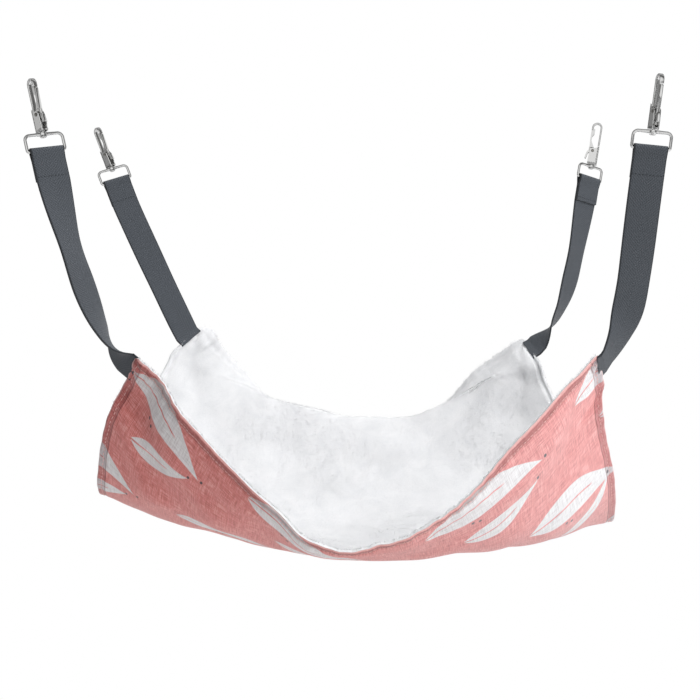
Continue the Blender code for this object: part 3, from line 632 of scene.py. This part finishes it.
# zinc-plated steel: greyer and duller than the nickel round it
def springSteel():
    material, tree, shader = newMaterial("springSteel")
    place = addNode(tree, "TexCoord", output=3)
    drawn = addNode(tree, "TexNoise", {"Vector": place, "Scale": 700.0, "Detail": 2.0})
    rough = addNode(tree, "MapRange", (drawn, 0, 1, 0.3, 0.45))
    setInputs(tree, shader, {"Base Color": linearColour("9a9893"), "Roughness": rough, "Metallic": 1.0})
    return material


print("materials")
cottonMaterial, plushMaterial = printedCotton(), shortPlush()
webbingMaterial, nickelMaterial, steelMaterial = wovenWebbing(), nickelPlate(), springSteel()
paleThread, whiteThread, greyThread = (threadMaterial(*made) for made in (
    ("paleThread", "f0c4bf"), ("whiteThread", "eceaea"), ("greyThread", "33373b")))


# Bed pieces

coverShape = {"start": 0, "lip": 0.95 * mm, "dip": 0.5 * mm, "full": 1.2 * mm}
liningShape = {"start": 0.05 * mm, "lip": 2.3 * mm, "dip": 1.4 * mm, "full": 3.0 * mm}

print("bed")
cover = clothPiece("cottonCover", lambda edge: -quiltLift(edge, coverShape), cottonMaterial, True)
lining = clothPiece("plushLining", lambda edge: quiltLift(edge, liningShape), plushMaterial, False,
                    plush["rearSpread"])


# cut pile: fine blades, brushed this way and that, and fanned out over the edges
def pileBlades():
    draw = np.random.default_rng(11)
    count = plush["blades"]
    x = draw.uniform(0, bed["flatLength"], count + count // 8)
    y = draw.uniform(0, bed["flatDepth"], count + count // 8)
    edge = edgeDistance(x, y)
    keep = np.flatnonzero(edge > 0.3 * mm)[:count]
    x, y, edge = x[keep], y[keep], edge[keep]
    low = quiltLift(edge, liningShape)
    y = spreadOut(x, y, plush["rearSpread"])
    roots, normals = onCloth(x, y, low - plush["root"])
    tangents = []
    for stepX, stepY in ((1 * mm, 0), (0, 1 * mm)):
        ahead, _ = onCloth(x + stepX, y + stepY, low - plush["root"])
        way = ahead - roots
        way -= normals * np.sum(way * normals, axis=1)[:, None]
        tangents.append(way / np.maximum(np.linalg.norm(way, axis=1), 1e-9)[:, None])
    brush = 2.2 * np.sin(x / plush["swirlX"]) + 1.7 * np.sin(y / plush["swirlY"] + 1) + draw.normal(0, 0.8, len(x))
    leanWay = tangents[0] * np.cos(brush)[:, None] + tangents[1] * np.sin(brush)[:, None]
    for tangent, place, size in ((tangents[0], x, bed["flatLength"]), (tangents[1], y, bed["flatDepth"])):
        outward = np.where(place < size / 2, -1, 1) * np.exp(-np.minimum(place, size - place) / plush["fanReach"])
        leanWay += plush["fanOut"] * tangent * outward[:, None]
    leanWay /= np.maximum(np.linalg.norm(leanWay, axis=1), 1)[:, None]
    height = plush["pile"] * draw.uniform(0.5, 1.1, len(x))
    lean = plush["lean"] * draw.uniform(0.5, 1.1, len(x))
    wide = np.cross(normals, leanWay) * (plush["bladeWidth"] * draw.uniform(0.6, 1.2, len(x)) / 2)[:, None]
    tip = roots + normals * height[:, None] + leanWay * lean[:, None]
    vertices = np.stack([roots + wide, roots - wide, tip], axis=1).reshape(-1, 3)
    faces = [(k, k + 1, k + 2) for k in range(0, len(vertices), 3)]
    piece = addPiece("plushPile", vertices, faces, plushMaterial, np.repeat(np.stack([x, y], axis=1), 3, axis=0))
    softNormals = normals + leanWay * draw.normal(0.0, plush["sparkle"], len(x))[:, None]
    piece.data.normals_split_custom_set_from_vertices(np.repeat(unit(softNormals), 3, axis=0))
    return piece


pile = pileBlades()
threadOut = seamStitches("topStitchOuter", 0.3 * mm, -0.75 * mm, -1, paleThread)
threadIn = seamStitches("topStitchInner", 0.27 * mm, 1.2 * mm, 1, whiteThread)
for piece in (cover, threadOut):
    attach(piece, "panel")
for piece in (lining, pile, threadIn):
    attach(piece, "panel")
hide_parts("cover")
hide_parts("lining")


# Straps

joints = {joint["name"]: joint for joint in frame["record"]["behaviour"]["joints"]}
# way the edges turn, tail in front, twist at each fifth, and how the curve keeps its two ends' ways
strapShapes = {
    "front_left": (1, False, (0.40, 0.41, 0.52, 0.64), (0.58, 0.14, 0.00)),
    "front_right": (1, False, (0.02, 0.18, 0.20, 0.67), (0.61, 0.33, 0.38)),
    "rear_left": (-1, False, (0.16, 0.17, 0.66, 0.68), (0.10, 0.02, 0.00)),
    "rear_right": (-1, True, (0.21, 0.22, 0.36, 0.50), (0.61, 0.29, 0.41))}


def jointAxis(name):
    return np.array(joints[name]["pos_m"], dtype=float), np.array(joints[name]["axis"], dtype=float)


# the ring's own axes: origin on its lower bar, X along the bar, Z up the hook's stem
def ringAxes(corner):
    origin, barX = jointAxis(corner + "_ring_swing")
    barZ = jointAxis(corner + "_hook_swivel")[1]
    return origin, barX, np.cross(barZ, barX), barZ


# a direction between two others, at even steps of the turn
def turnedWay(first, last, share):
    angle = math.acos(np.clip(np.dot(first, last), -1, 1))
    return (first * math.sin((1 - share) * angle) + last * math.sin(share * angle)) / math.sin(angle)


# centre line and width direction of the webbing, from its sewn tail round the bar to the seam
def strapPath(corner):
    edgeTurn, tailInFront, twist, pulls = strapShapes[corner]
    origin, barX, barY, barZ = ringAxes(corner)
    side = 1 if tailInFront else -1
    radius = webbing["wire"] / 2 + webbing["gap"] + webbing["thickness"] / 2
    pinch = (webbing["thickness"] + webbing["gap"]) / 2
    down = [(-side * pinch, z) for z in np.linspace(-webbing["tail"], -webbing["pinch"] - 1 * mm, 12)]
    turnIn = []
    for k in range(1, 8):
        t = ease(k / 8)
        turnIn.append((-side * (pinch + (radius - pinch) * t), -webbing["pinch"] * (1 - k / 8)))
    loop = [(-side * radius * math.cos(math.pi * k / 20), radius * math.sin(math.pi * k / 20)) for k in range(21)]
    section = down + turnIn + loop + [(-y, z) for y, z in reversed(turnIn)] + [(-y, z) for y, z in reversed(down)]
    path = [(origin + barY * y + barZ * z, barX) for y, z in section]
    seam, seamWay = jointAxis(corner + "_seam_fold")
    endWidth = seamWay * edgeTurn
    start = path[-1][0]
    inner = inwardWay(corner, seamWay)
    end = seam - inner * (webbing["seamGap"] + webbing["seamLead"])
    span = np.linalg.norm(end - start)
    endWay = inner + ((end - start) / span - inner) * pulls[2]
    a, b = start - barZ * span * pulls[0], end - endWay * span * pulls[1]
    turns = np.array([0, *twist, 1])
    for t in np.linspace(0, 1, 120)[1:]:
        s = 1 - t
        place = start * s ** 3 + a * 3 * s * s * t + b * 3 * s * t * t + end * t ** 3
        share = smoothCurve(turns, np.array([min(t / webbing["settleShare"], 1)]))[0]
        path.append((place, turnedWay(barX, endWidth, share)))
    for k in range(1, 8):
        path.append((end + inner * k * webbing["seamStep"], endWidth))
    return path


# from the seam into the panel, square to the seam
def inwardWay(corner, seamWay):
    step = bed["seamCell"][0]
    x = np.array([0, step]) if corner.endswith("left") else bed["flatLength"] - np.array([0, step])
    y = np.full(2, 0.0 if corner.startswith("front") else bed["flatDepth"])
    ends, _ = onCloth(x, y)
    way = ends[1] - ends[0]
    way -= seamWay * np.dot(way, seamWay)
    return unit(way)


# place, width and thickness directions and the length so far, all along the webbing
def strapFrames(path):
    places = np.array([p for p, _ in path])
    widths = np.array([w for _, w in path])
    ahead = unit(np.gradient(places, axis=0))
    widths = unit(widths - ahead * np.sum(widths * ahead, axis=1)[:, None])
    return places, widths, np.cross(ahead, widths), runLength(places)


def strapPiece(corner):
    places, widths, thicks, run = strapFrames(strapPath(corner))
    half, thick, edge = webbing["width"] / 2, webbing["thickness"] / 2, webbing["edgeRound"]
    ring = []
    for x in np.linspace(-1, 1, 13):
        ring.append((x * (half - edge), 1))
    for angle in (60, 25, -25, -60):
        a = math.radians(angle)
        ring.append((half - edge + edge * math.cos(a), math.sin(a)))
    ring += [(x, -1) for x, _ in reversed(ring[:13])]
    ring += [(-x, -side) for x, side in ring[13:17]]
    vertices, uv = [], []
    for place, width, up, along in zip(places, widths, thicks, run):
        for x, side in ring:
            vertices.append(place + width * x + up * side * thick)
            uv.append((x + half, along))
    vertices, faces = closedPart(vertices, ringFaces(len(places), len(ring)))
    piece = addPiece(corner + "_webbing", vertices, faces, webbingMaterial, uv)
    piece.data.set_sharp_from_angle(angle=math.radians(60))
    return piece


# the row of stitches that closes the fold-back, on both faces of the doubled webbing
def strapThread(corner):
    origin, barX, barY, barZ = ringAxes(corner)
    lift = webbing["thickness"] + webbing["gap"] / 2 + 0.02 * mm
    points, normals, ways = [], [], []
    reach = webbing["stitchReach"]
    for x in np.arange(-reach, reach + 0.1 * mm, webbing["stitchPitch"]):
        for side in (-1, 1):
            points.append(origin + barX * x + barZ * webbing["stitchRow"] + barY * side * lift)
            normals.append(barY * side)
            ways.append(barX)
    return stitches(corner + "_foldStitch", points, normals, ways, 2.1 * mm, 0.24 * mm, greyThread)


print("straps")
for corner in cornerNames:
    strap, thread = strapPiece(corner), strapThread(corner)
    seam, seamWay = jointAxis(corner + "_seam_fold")
    inner = inwardWay(corner, seamWay)
    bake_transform(strap)
    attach(thread, corner + "_strap")
    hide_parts(corner + "_strap")


# Hardware

hook = {   # millimetres, up from the ring's lower bar: rounder forms of the frame's hook and ring
    "ringHalf": 14.05, "ringHeight": 12.3, "ringWire": 1.15, "ringSwell": 1.5,
    "ringTopCorner": 3.6, "ringFootCorner": 1.6,
    "boss": [(0, 10.8), (2.2, 10.8), (2.8, 10.95), (3.0, 11.4), (3.0, 13.2), (2.8, 13.65), (2.2, 13.8), (0, 13.8)],
    "rivet": [(0, 9.5), (1.1, 9.6), (1.9, 9.85), (2.35, 10.2), (2.4, 10.5), (1.0, 10.5), (1.0, 16.4),
              (1.5, 16.4), (1.45, 16.8), (1.0, 17.2), (0, 17.4)],
    "pin": [(0, -3.55), (0.8, -3.47), (1.25, -3.25), (1.4, -3.05), (0.8, -3.05), (0.8, 3.05), (1.4, 3.05),
            (1.25, 3.25), (0.8, 3.47), (0, 3.55)],
    "crook": 3.95, "crookHeight": 49.25, "noseEnd": 46.55, "foot": 14.1, "flare": 34,
    "wide": 0.8, "deep": 1.85, "edge": 0.72, "cupInner": 1.85, "cupOuter": 2.75, "leverHalf": 1.55,
    "pivot": (0.9, 26.8),
    "cheek": [(-4.75, 14.1), (3.9, 14.1), (4.2, 14.6), (4.2, 18.6), (3.5, 26.8), (3.3, 27.8), (2.74, 28.64),
              (1.89, 29.2), (0.9, 29.4), (0.01, 29.24), (-4.75, 31.0)],
    "base": [(-4.75, 14.1), (4.2, 14.1), (4.2, 16.1), (-4.75, 16.1)],
    "back": [(-4.75, 14.1), (-3.15, 14.1), (-3.15, 31.0), (-4.75, 32.5)],
    "hub": [(-1.48, 1.76), (-2.2, 0.6), (-2.25, -0.5), (-1.75, -1.5), (-0.8, -2.15), (0.2, -2.3),
            (1.15, -1.99), (3.9, -2.07), (3.9, 4.0), (-0.35, 4.0)],
    "arm": [(3.4, 3.25), (3.85, 9.7), (3.85, 19.0), (3.5, 19.45), (1.95, 19.45), (1.95, 20.95), (0.75, 20.95),
            (0.75, 16.25), (2.55, 13.05), (2.55, 9.7), (-0.7, 3.25)],
    "tab": [(2.9, -2.03), (3.9, -2.07), (4.3, -3.4), (4.68, -5.18), (4.95, -6.5), (5.2, -7.4), (5.9, -7.6),
            (6.55, -7.1), (6.4, -5.9), (6.08, -4.59), (5.7, -2.8), (5.2, -1.18), (4.3, 0.1), (3.22, 0.96),
            (3.4, 3.6), (2.9, 3.6)],
    "springWire": 0.175, "springRadius": 1.4, "springStart": 0.475, "springPitch": 0.5, "springTurns": 1.75,
}


def bridged(rings, closed=False):
    return closedPart(np.concatenate(rings), ringFaces(len(rings), len(rings[0]), closed=closed))


# a section carried along a path; the first section direction stays square to the hook's Y
def swept(path, sections, closed=False):
    path = np.array(path, dtype=float)
    ahead = np.roll(path, -1, axis=0) - np.roll(path, 1, axis=0) if closed else np.gradient(path, axis=0)
    rings = []
    for place, way, section in zip(path, unit(ahead), sections):
        side = unit(np.cross(way, (0, 1, 0)))
        rings.append(place + np.outer(section[:, 0], side) + np.outer(section[:, 1], np.cross(side, way)))
    return bridged(rings, closed)


def roundSection(radius, sides=12):
    turn = np.arange(sides) * 2 * math.pi / sides
    return radius * np.stack([np.cos(turn), np.sin(turn)], axis=1)


def pillSection(wide, deep, edge):
    turn = np.arange(16) * math.pi / 8 + math.pi / 16
    ways = np.stack([np.cos(turn), np.sin(turn)], axis=1)
    return np.sign(ways) * (np.array([wide, deep]) - edge) + ways * edge


# a turned part about Z or, for the pin, about Y
def turnedPart(profile, about="Z", centre=(0, 0), sides=24):
    rings = []
    for radius, height in profile:
        flat = roundSection(max(radius, 0.01), sides) + centre
        ring = np.insert(flat, 2 if about == "Z" else 1, height, axis=1)
        rings.append(ring)
    return bridged(rings)


# a plate cut to an outline in the hook's XZ plane, with its edges rounded off
def platePart(outline, low, high, edge):
    corners = np.array(outline, dtype=float)
    before, after = corners - np.roll(corners, 1, axis=0), np.roll(corners, -1, axis=0) - corners
    square = []
    for way in (unit(before), unit(after)):
        square.append(np.stack([-way[:, 1], way[:, 0]], axis=1))
    inner = (square[0] + square[1]) / np.maximum(1 + np.sum(square[0] * square[1], axis=1), 0.4)[:, None]
    turns = [math.pi / 2 * k / 3 for k in range(4)]
    levels = [(low + edge * (1 - math.sin(a)), edge * (1 - math.cos(math.pi / 2 - a))) for a in reversed(turns)]
    levels += [(high - edge * (1 - math.sin(a)), edge * (1 - math.cos(math.pi / 2 - a))) for a in turns]
    rings = []
    for level, inset in levels:
        flat = corners + inner * inset
        rings.append(np.stack([flat[:, 0], np.full(len(flat), level), flat[:, 1]], axis=1))
    return bridged(rings)


def ringParts():
    half, high, top, foot = hook["ringHalf"], hook["ringHeight"], hook["ringTopCorner"], hook["ringFootCorner"]
    path = [(x, 0, 0) for x in np.linspace(-half + foot, half - foot, 9)]
    for x, z, corner, start in (
            (half, 0, foot, -90), (half, high, top, 0), (-half, high, top, 90), (-half, 0, foot, 180)):
        centreX, centreZ = x - math.copysign(corner, x), z + (corner if z == 0 else -corner)
        for k in range(0, 9):
            a = math.radians(start + 90 * k / 8)
            path.append((centreX + corner * math.cos(a), 0, centreZ + corner * math.sin(a)))
        if start == 0:
            path += [(x, 0, high) for x in np.linspace(half - top, -half + top, 19)[1:-1]]
    path = path[:-1]
    sections = []
    for x, _, z in path:
        swell = math.exp(-(x / 5) ** 2) if z > high - 0.1 else 0    # the top bar is thicker towards its boss
        sections.append(roundSection(hook["ringWire"] + (hook["ringSwell"] - hook["ringWire"]) * swell))
    return [swept(path, sections, closed=True), turnedPart(hook["boss"])]


def hookParts():
    crook, high = hook["crook"], hook["crookHeight"]
    path = [(-crook, 0, z) for z in np.linspace(hook["foot"] + 0.3, high, 12)[:-1]]
    path += [(crook * math.cos(a), 0, high + crook * math.sin(a)) for a in np.linspace(math.pi, 0, 21)]
    path += [(crook, 0, z) for z in (high - 0.9, high - 1.8)]
    path += [(crook, 0, hook["noseEnd"] + rise) for rise in (0.3, 0.08, 0)]
    sections = []
    for k, (x, _, z) in enumerate(path):
        deep = hook["deep"] + 0.9 * ease((hook["flare"] - z) / 8) * (x < 0)
        small = {0: 0.55, 1: 0.9}.get(len(path) - 1 - k, 1)
        sections.append(pillSection(hook["wide"], deep, hook["edge"]) * small)
    parts = [swept(path, sections)]
    inner, outer = hook["cupInner"], hook["cupOuter"]
    for low, high in ((-outer, -inner), (inner, outer)):
        parts.append(platePart(hook["cheek"], low, high, 0.4))
    return parts + [platePart(hook[name], -outer, outer, 0.5) for name in ("base", "back")]


# parts drawn round the gate's pin, moved to it
def atPivot(parts):
    pivot = np.array([hook["pivot"][0], 0, hook["pivot"][1]])
    return [(vertices + pivot, faces) for vertices, faces in parts]


def gateParts():
    half = hook["leverHalf"]
    parts = [platePart(hook["hub"], -half, 0, 0.3), platePart(hook["arm"], -half, half, 0.45),
             platePart(hook["tab"], -half, half, 0.5)]
    return atPivot(parts)


def springParts():
    path, radius = [], hook["springRadius"]
    for turn in np.linspace(0, hook["springTurns"], 61):
        a = math.pi + 2 * math.pi * turn
        path.append((radius * math.cos(a), hook["springStart"] + hook["springPitch"] * turn, radius * math.sin(a)))
    first, last = path[0], path[-1]
    legs = [(first[0] - 0.35 * k / 6, first[1], first[2] - 3.1 * k / 6) for k in range(6, 0, -1)]
    path = legs + path + [(last[0] + 1.3 * k / 4, last[1], last[2] + 0.35 * k / 4) for k in range(1, 5)]
    return atPivot([swept(path, [roundSection(hook["springWire"], 8)] * len(path))])


# the hook's own axes at a corner: Z up the swivel, Y along the gate's pin, the gate towards +X
def hookAxes(corner):
    origin, _, _, barZ = ringAxes(corner)
    pivot, pinWay = jointAxis(corner + "_gate_open")
    if np.dot(np.cross(pinWay, barZ), pivot - origin) < 0:
        pinWay = -pinWay
    return origin, np.cross(pinWay, barZ), pinWay, barZ


def metalPiece(name, parts, axes, material, body, node):
    vertices, faces = [], []
    for places, loops in parts:
        faces += [tuple(k + len(vertices) for k in loop) for loop in loops]
        vertices += [axes[0] + mm * (axes[1] * x + axes[2] * y + axes[3] * z) for x, y, z in places]
    piece = addPiece(name, vertices, faces, material)
    piece.data.set_sharp_from_angle(angle=math.radians(50))
    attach(piece, body)
    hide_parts(node)


print("hardware")
pinParts = [turnedPart(hook["pin"], about="Y", centre=hook["pivot"])]
for corner in cornerNames:
    ringWays, hookWays = ringAxes(corner), hookAxes(corner)
    for name, parts, ways, material, body, node, slot in (
            ("ringLoop", ringParts(), ringWays, nickelMaterial, "ring", "ring", "nickel"),
            ("rivet", [turnedPart(hook["rivet"])], hookWays, nickelMaterial, "hook", "swivel_rivet", "nickel"),
            ("hookBody", hookParts(), hookWays, nickelMaterial, "hook", "hook_body", "nickel"),
            ("gateLever", gateParts(), hookWays, nickelMaterial, "gate", "gate", "nickel"),
            ("gatePin", pinParts, hookWays, steelMaterial, "hook", "gate_pin", "spring"),
            ("gateSpring", springParts(), hookWays, steelMaterial, "hook", "gate_spring", "spring")):
        metalPiece(corner + "_" + name, parts, ways, material, corner + "_" + body, corner + "_" + node)


# Floor, light and camera

studio = {
    "floorDrop": 420 * mm, "floorHalf": 6, "floor": "f2f2f2",
    "ambient": (0.97, 0.98, 1.0, 1), "ambientStrength": 0.27,
    # grey of the room that metal mirrors, from its bright front to its back
    "roomGreys": [(0.02, 1.0), (0.12, 0.85), (0.25, 0.13), (0.47, 0.17), (0.60, 0.6), (0.73, 0.6), (0.80, 0.10),
                  (0.90, 0.12), (0.99, 0.7)],
    # name, place, target, width and power
    "lamps": [("key", (1.7, -1.4, 1.2), (0, 0, -0.28), 1.6, 55), ("top", (0.1, 0.3, 1.6), (0, 0, -0.3), 1.8, 27)],
    # the photograph's side, focal length and eye level in its pixels, and where its camera stood
    "side": 700, "focal": 1450, "horizon": 272, "film": 36,
    "cameraRight": 2.5 * mm, "cameraBack": 1212 * mm, "cameraDrop": 137.6 * mm,
}


# matte white board, well below the hanging bed
def paleFloor():
    material, tree, shader = newMaterial("whiteBoard")
    setInputs(tree, shader, {"Base Color": linearColour(studio["floor"]), "Roughness": 0.9})
    seen, glow = addNode(tree, "LightPath"), addNode(tree, "Emission", ((1, 1, 1, 1),))
    mix = addNode(tree, "MixShader", (seen, shader.outputs[0], glow))
    tree.links.new(mix, tree.nodes["Material Output"].inputs[0])
    low, half = cadBox[0][2] - studio["floorDrop"], studio["floorHalf"]
    corners = [(-half, -half, low), (half, -half, low), (half, half, low), (-half, half, low)]
    addPiece("floor", corners, [(0, 1, 2, 3)], material, smooth=False)


# white studio: even from all sides, with a darker band for metal to show
def softWorld():
    world = bpy.data.worlds.new("studio")
    world.use_nodes = True
    bpy.context.scene.world = world
    tree = world.node_tree
    tree.nodes.clear()
    back = addNode(tree, "SeparateXYZ", (addNode(tree, "TexCoord"),), 1)
    depth = addNode(tree, "MapRange", (back, -1, 1))
    greys = [(at, (grey, grey, grey, 1)) for at, grey in studio["roomGreys"]]
    room = addNode(tree, "ValToRGB", (depth,), stops=greys)
    lit, mirrored, seen = (addNode(tree, "Background", inputs) for inputs in (
        (studio["ambient"], studio["ambientStrength"]), (room,), ((1, 1, 1, 1),)))
    around = addNode(tree, "MixShader", (addNode(tree, "LightPath", output=3), lit, mirrored))
    around = addNode(tree, "MixShader", (addNode(tree, "LightPath"), around, seen))
    tree.links.new(around, tree.nodes.new("ShaderNodeOutputWorld").inputs[0])


def addLamp(name, place, target, size, power):
    lamp = bpy.data.lights.new(name, "AREA")
    lamp.shape = "DISK"
    lamp.size = size
    lamp.energy = power
    holder = bpy.data.objects.new(name, lamp)
    holder.visible_glossy = False      # metal mirrors the room only
    bpy.context.collection.objects.link(holder)
    holder.location = place
    holder.rotation_euler = (Vector(target) - Vector(place)).to_track_quat("-Z", "Y").to_euler()


def photoCamera():
    lens = bpy.data.cameras.new("photograph")
    lens.sensor_width = studio["film"]
    lens.lens = studio["focal"] / studio["side"] * studio["film"]
    lens.clip_start = 0.01
    camera = bpy.data.objects.new("photograph", lens)
    bpy.context.scene.collection.objects.link(camera)
    pitch = math.atan((studio["side"] / 2 - studio["horizon"]) / studio["focal"])
    camera.location = (studio["cameraRight"], -studio["cameraBack"], -studio["cameraDrop"])
    camera.rotation_euler = (math.pi / 2 - pitch, 0, 0)
    bpy.context.scene.camera = camera


print("studio")
paleFloor()
softWorld()
for lamp in studio["lamps"]:
    addLamp(*lamp)
photoCamera()
bpy.context.scene.view_settings.view_transform = "Standard"

bpy.context.view_layer.update()
print("finished")
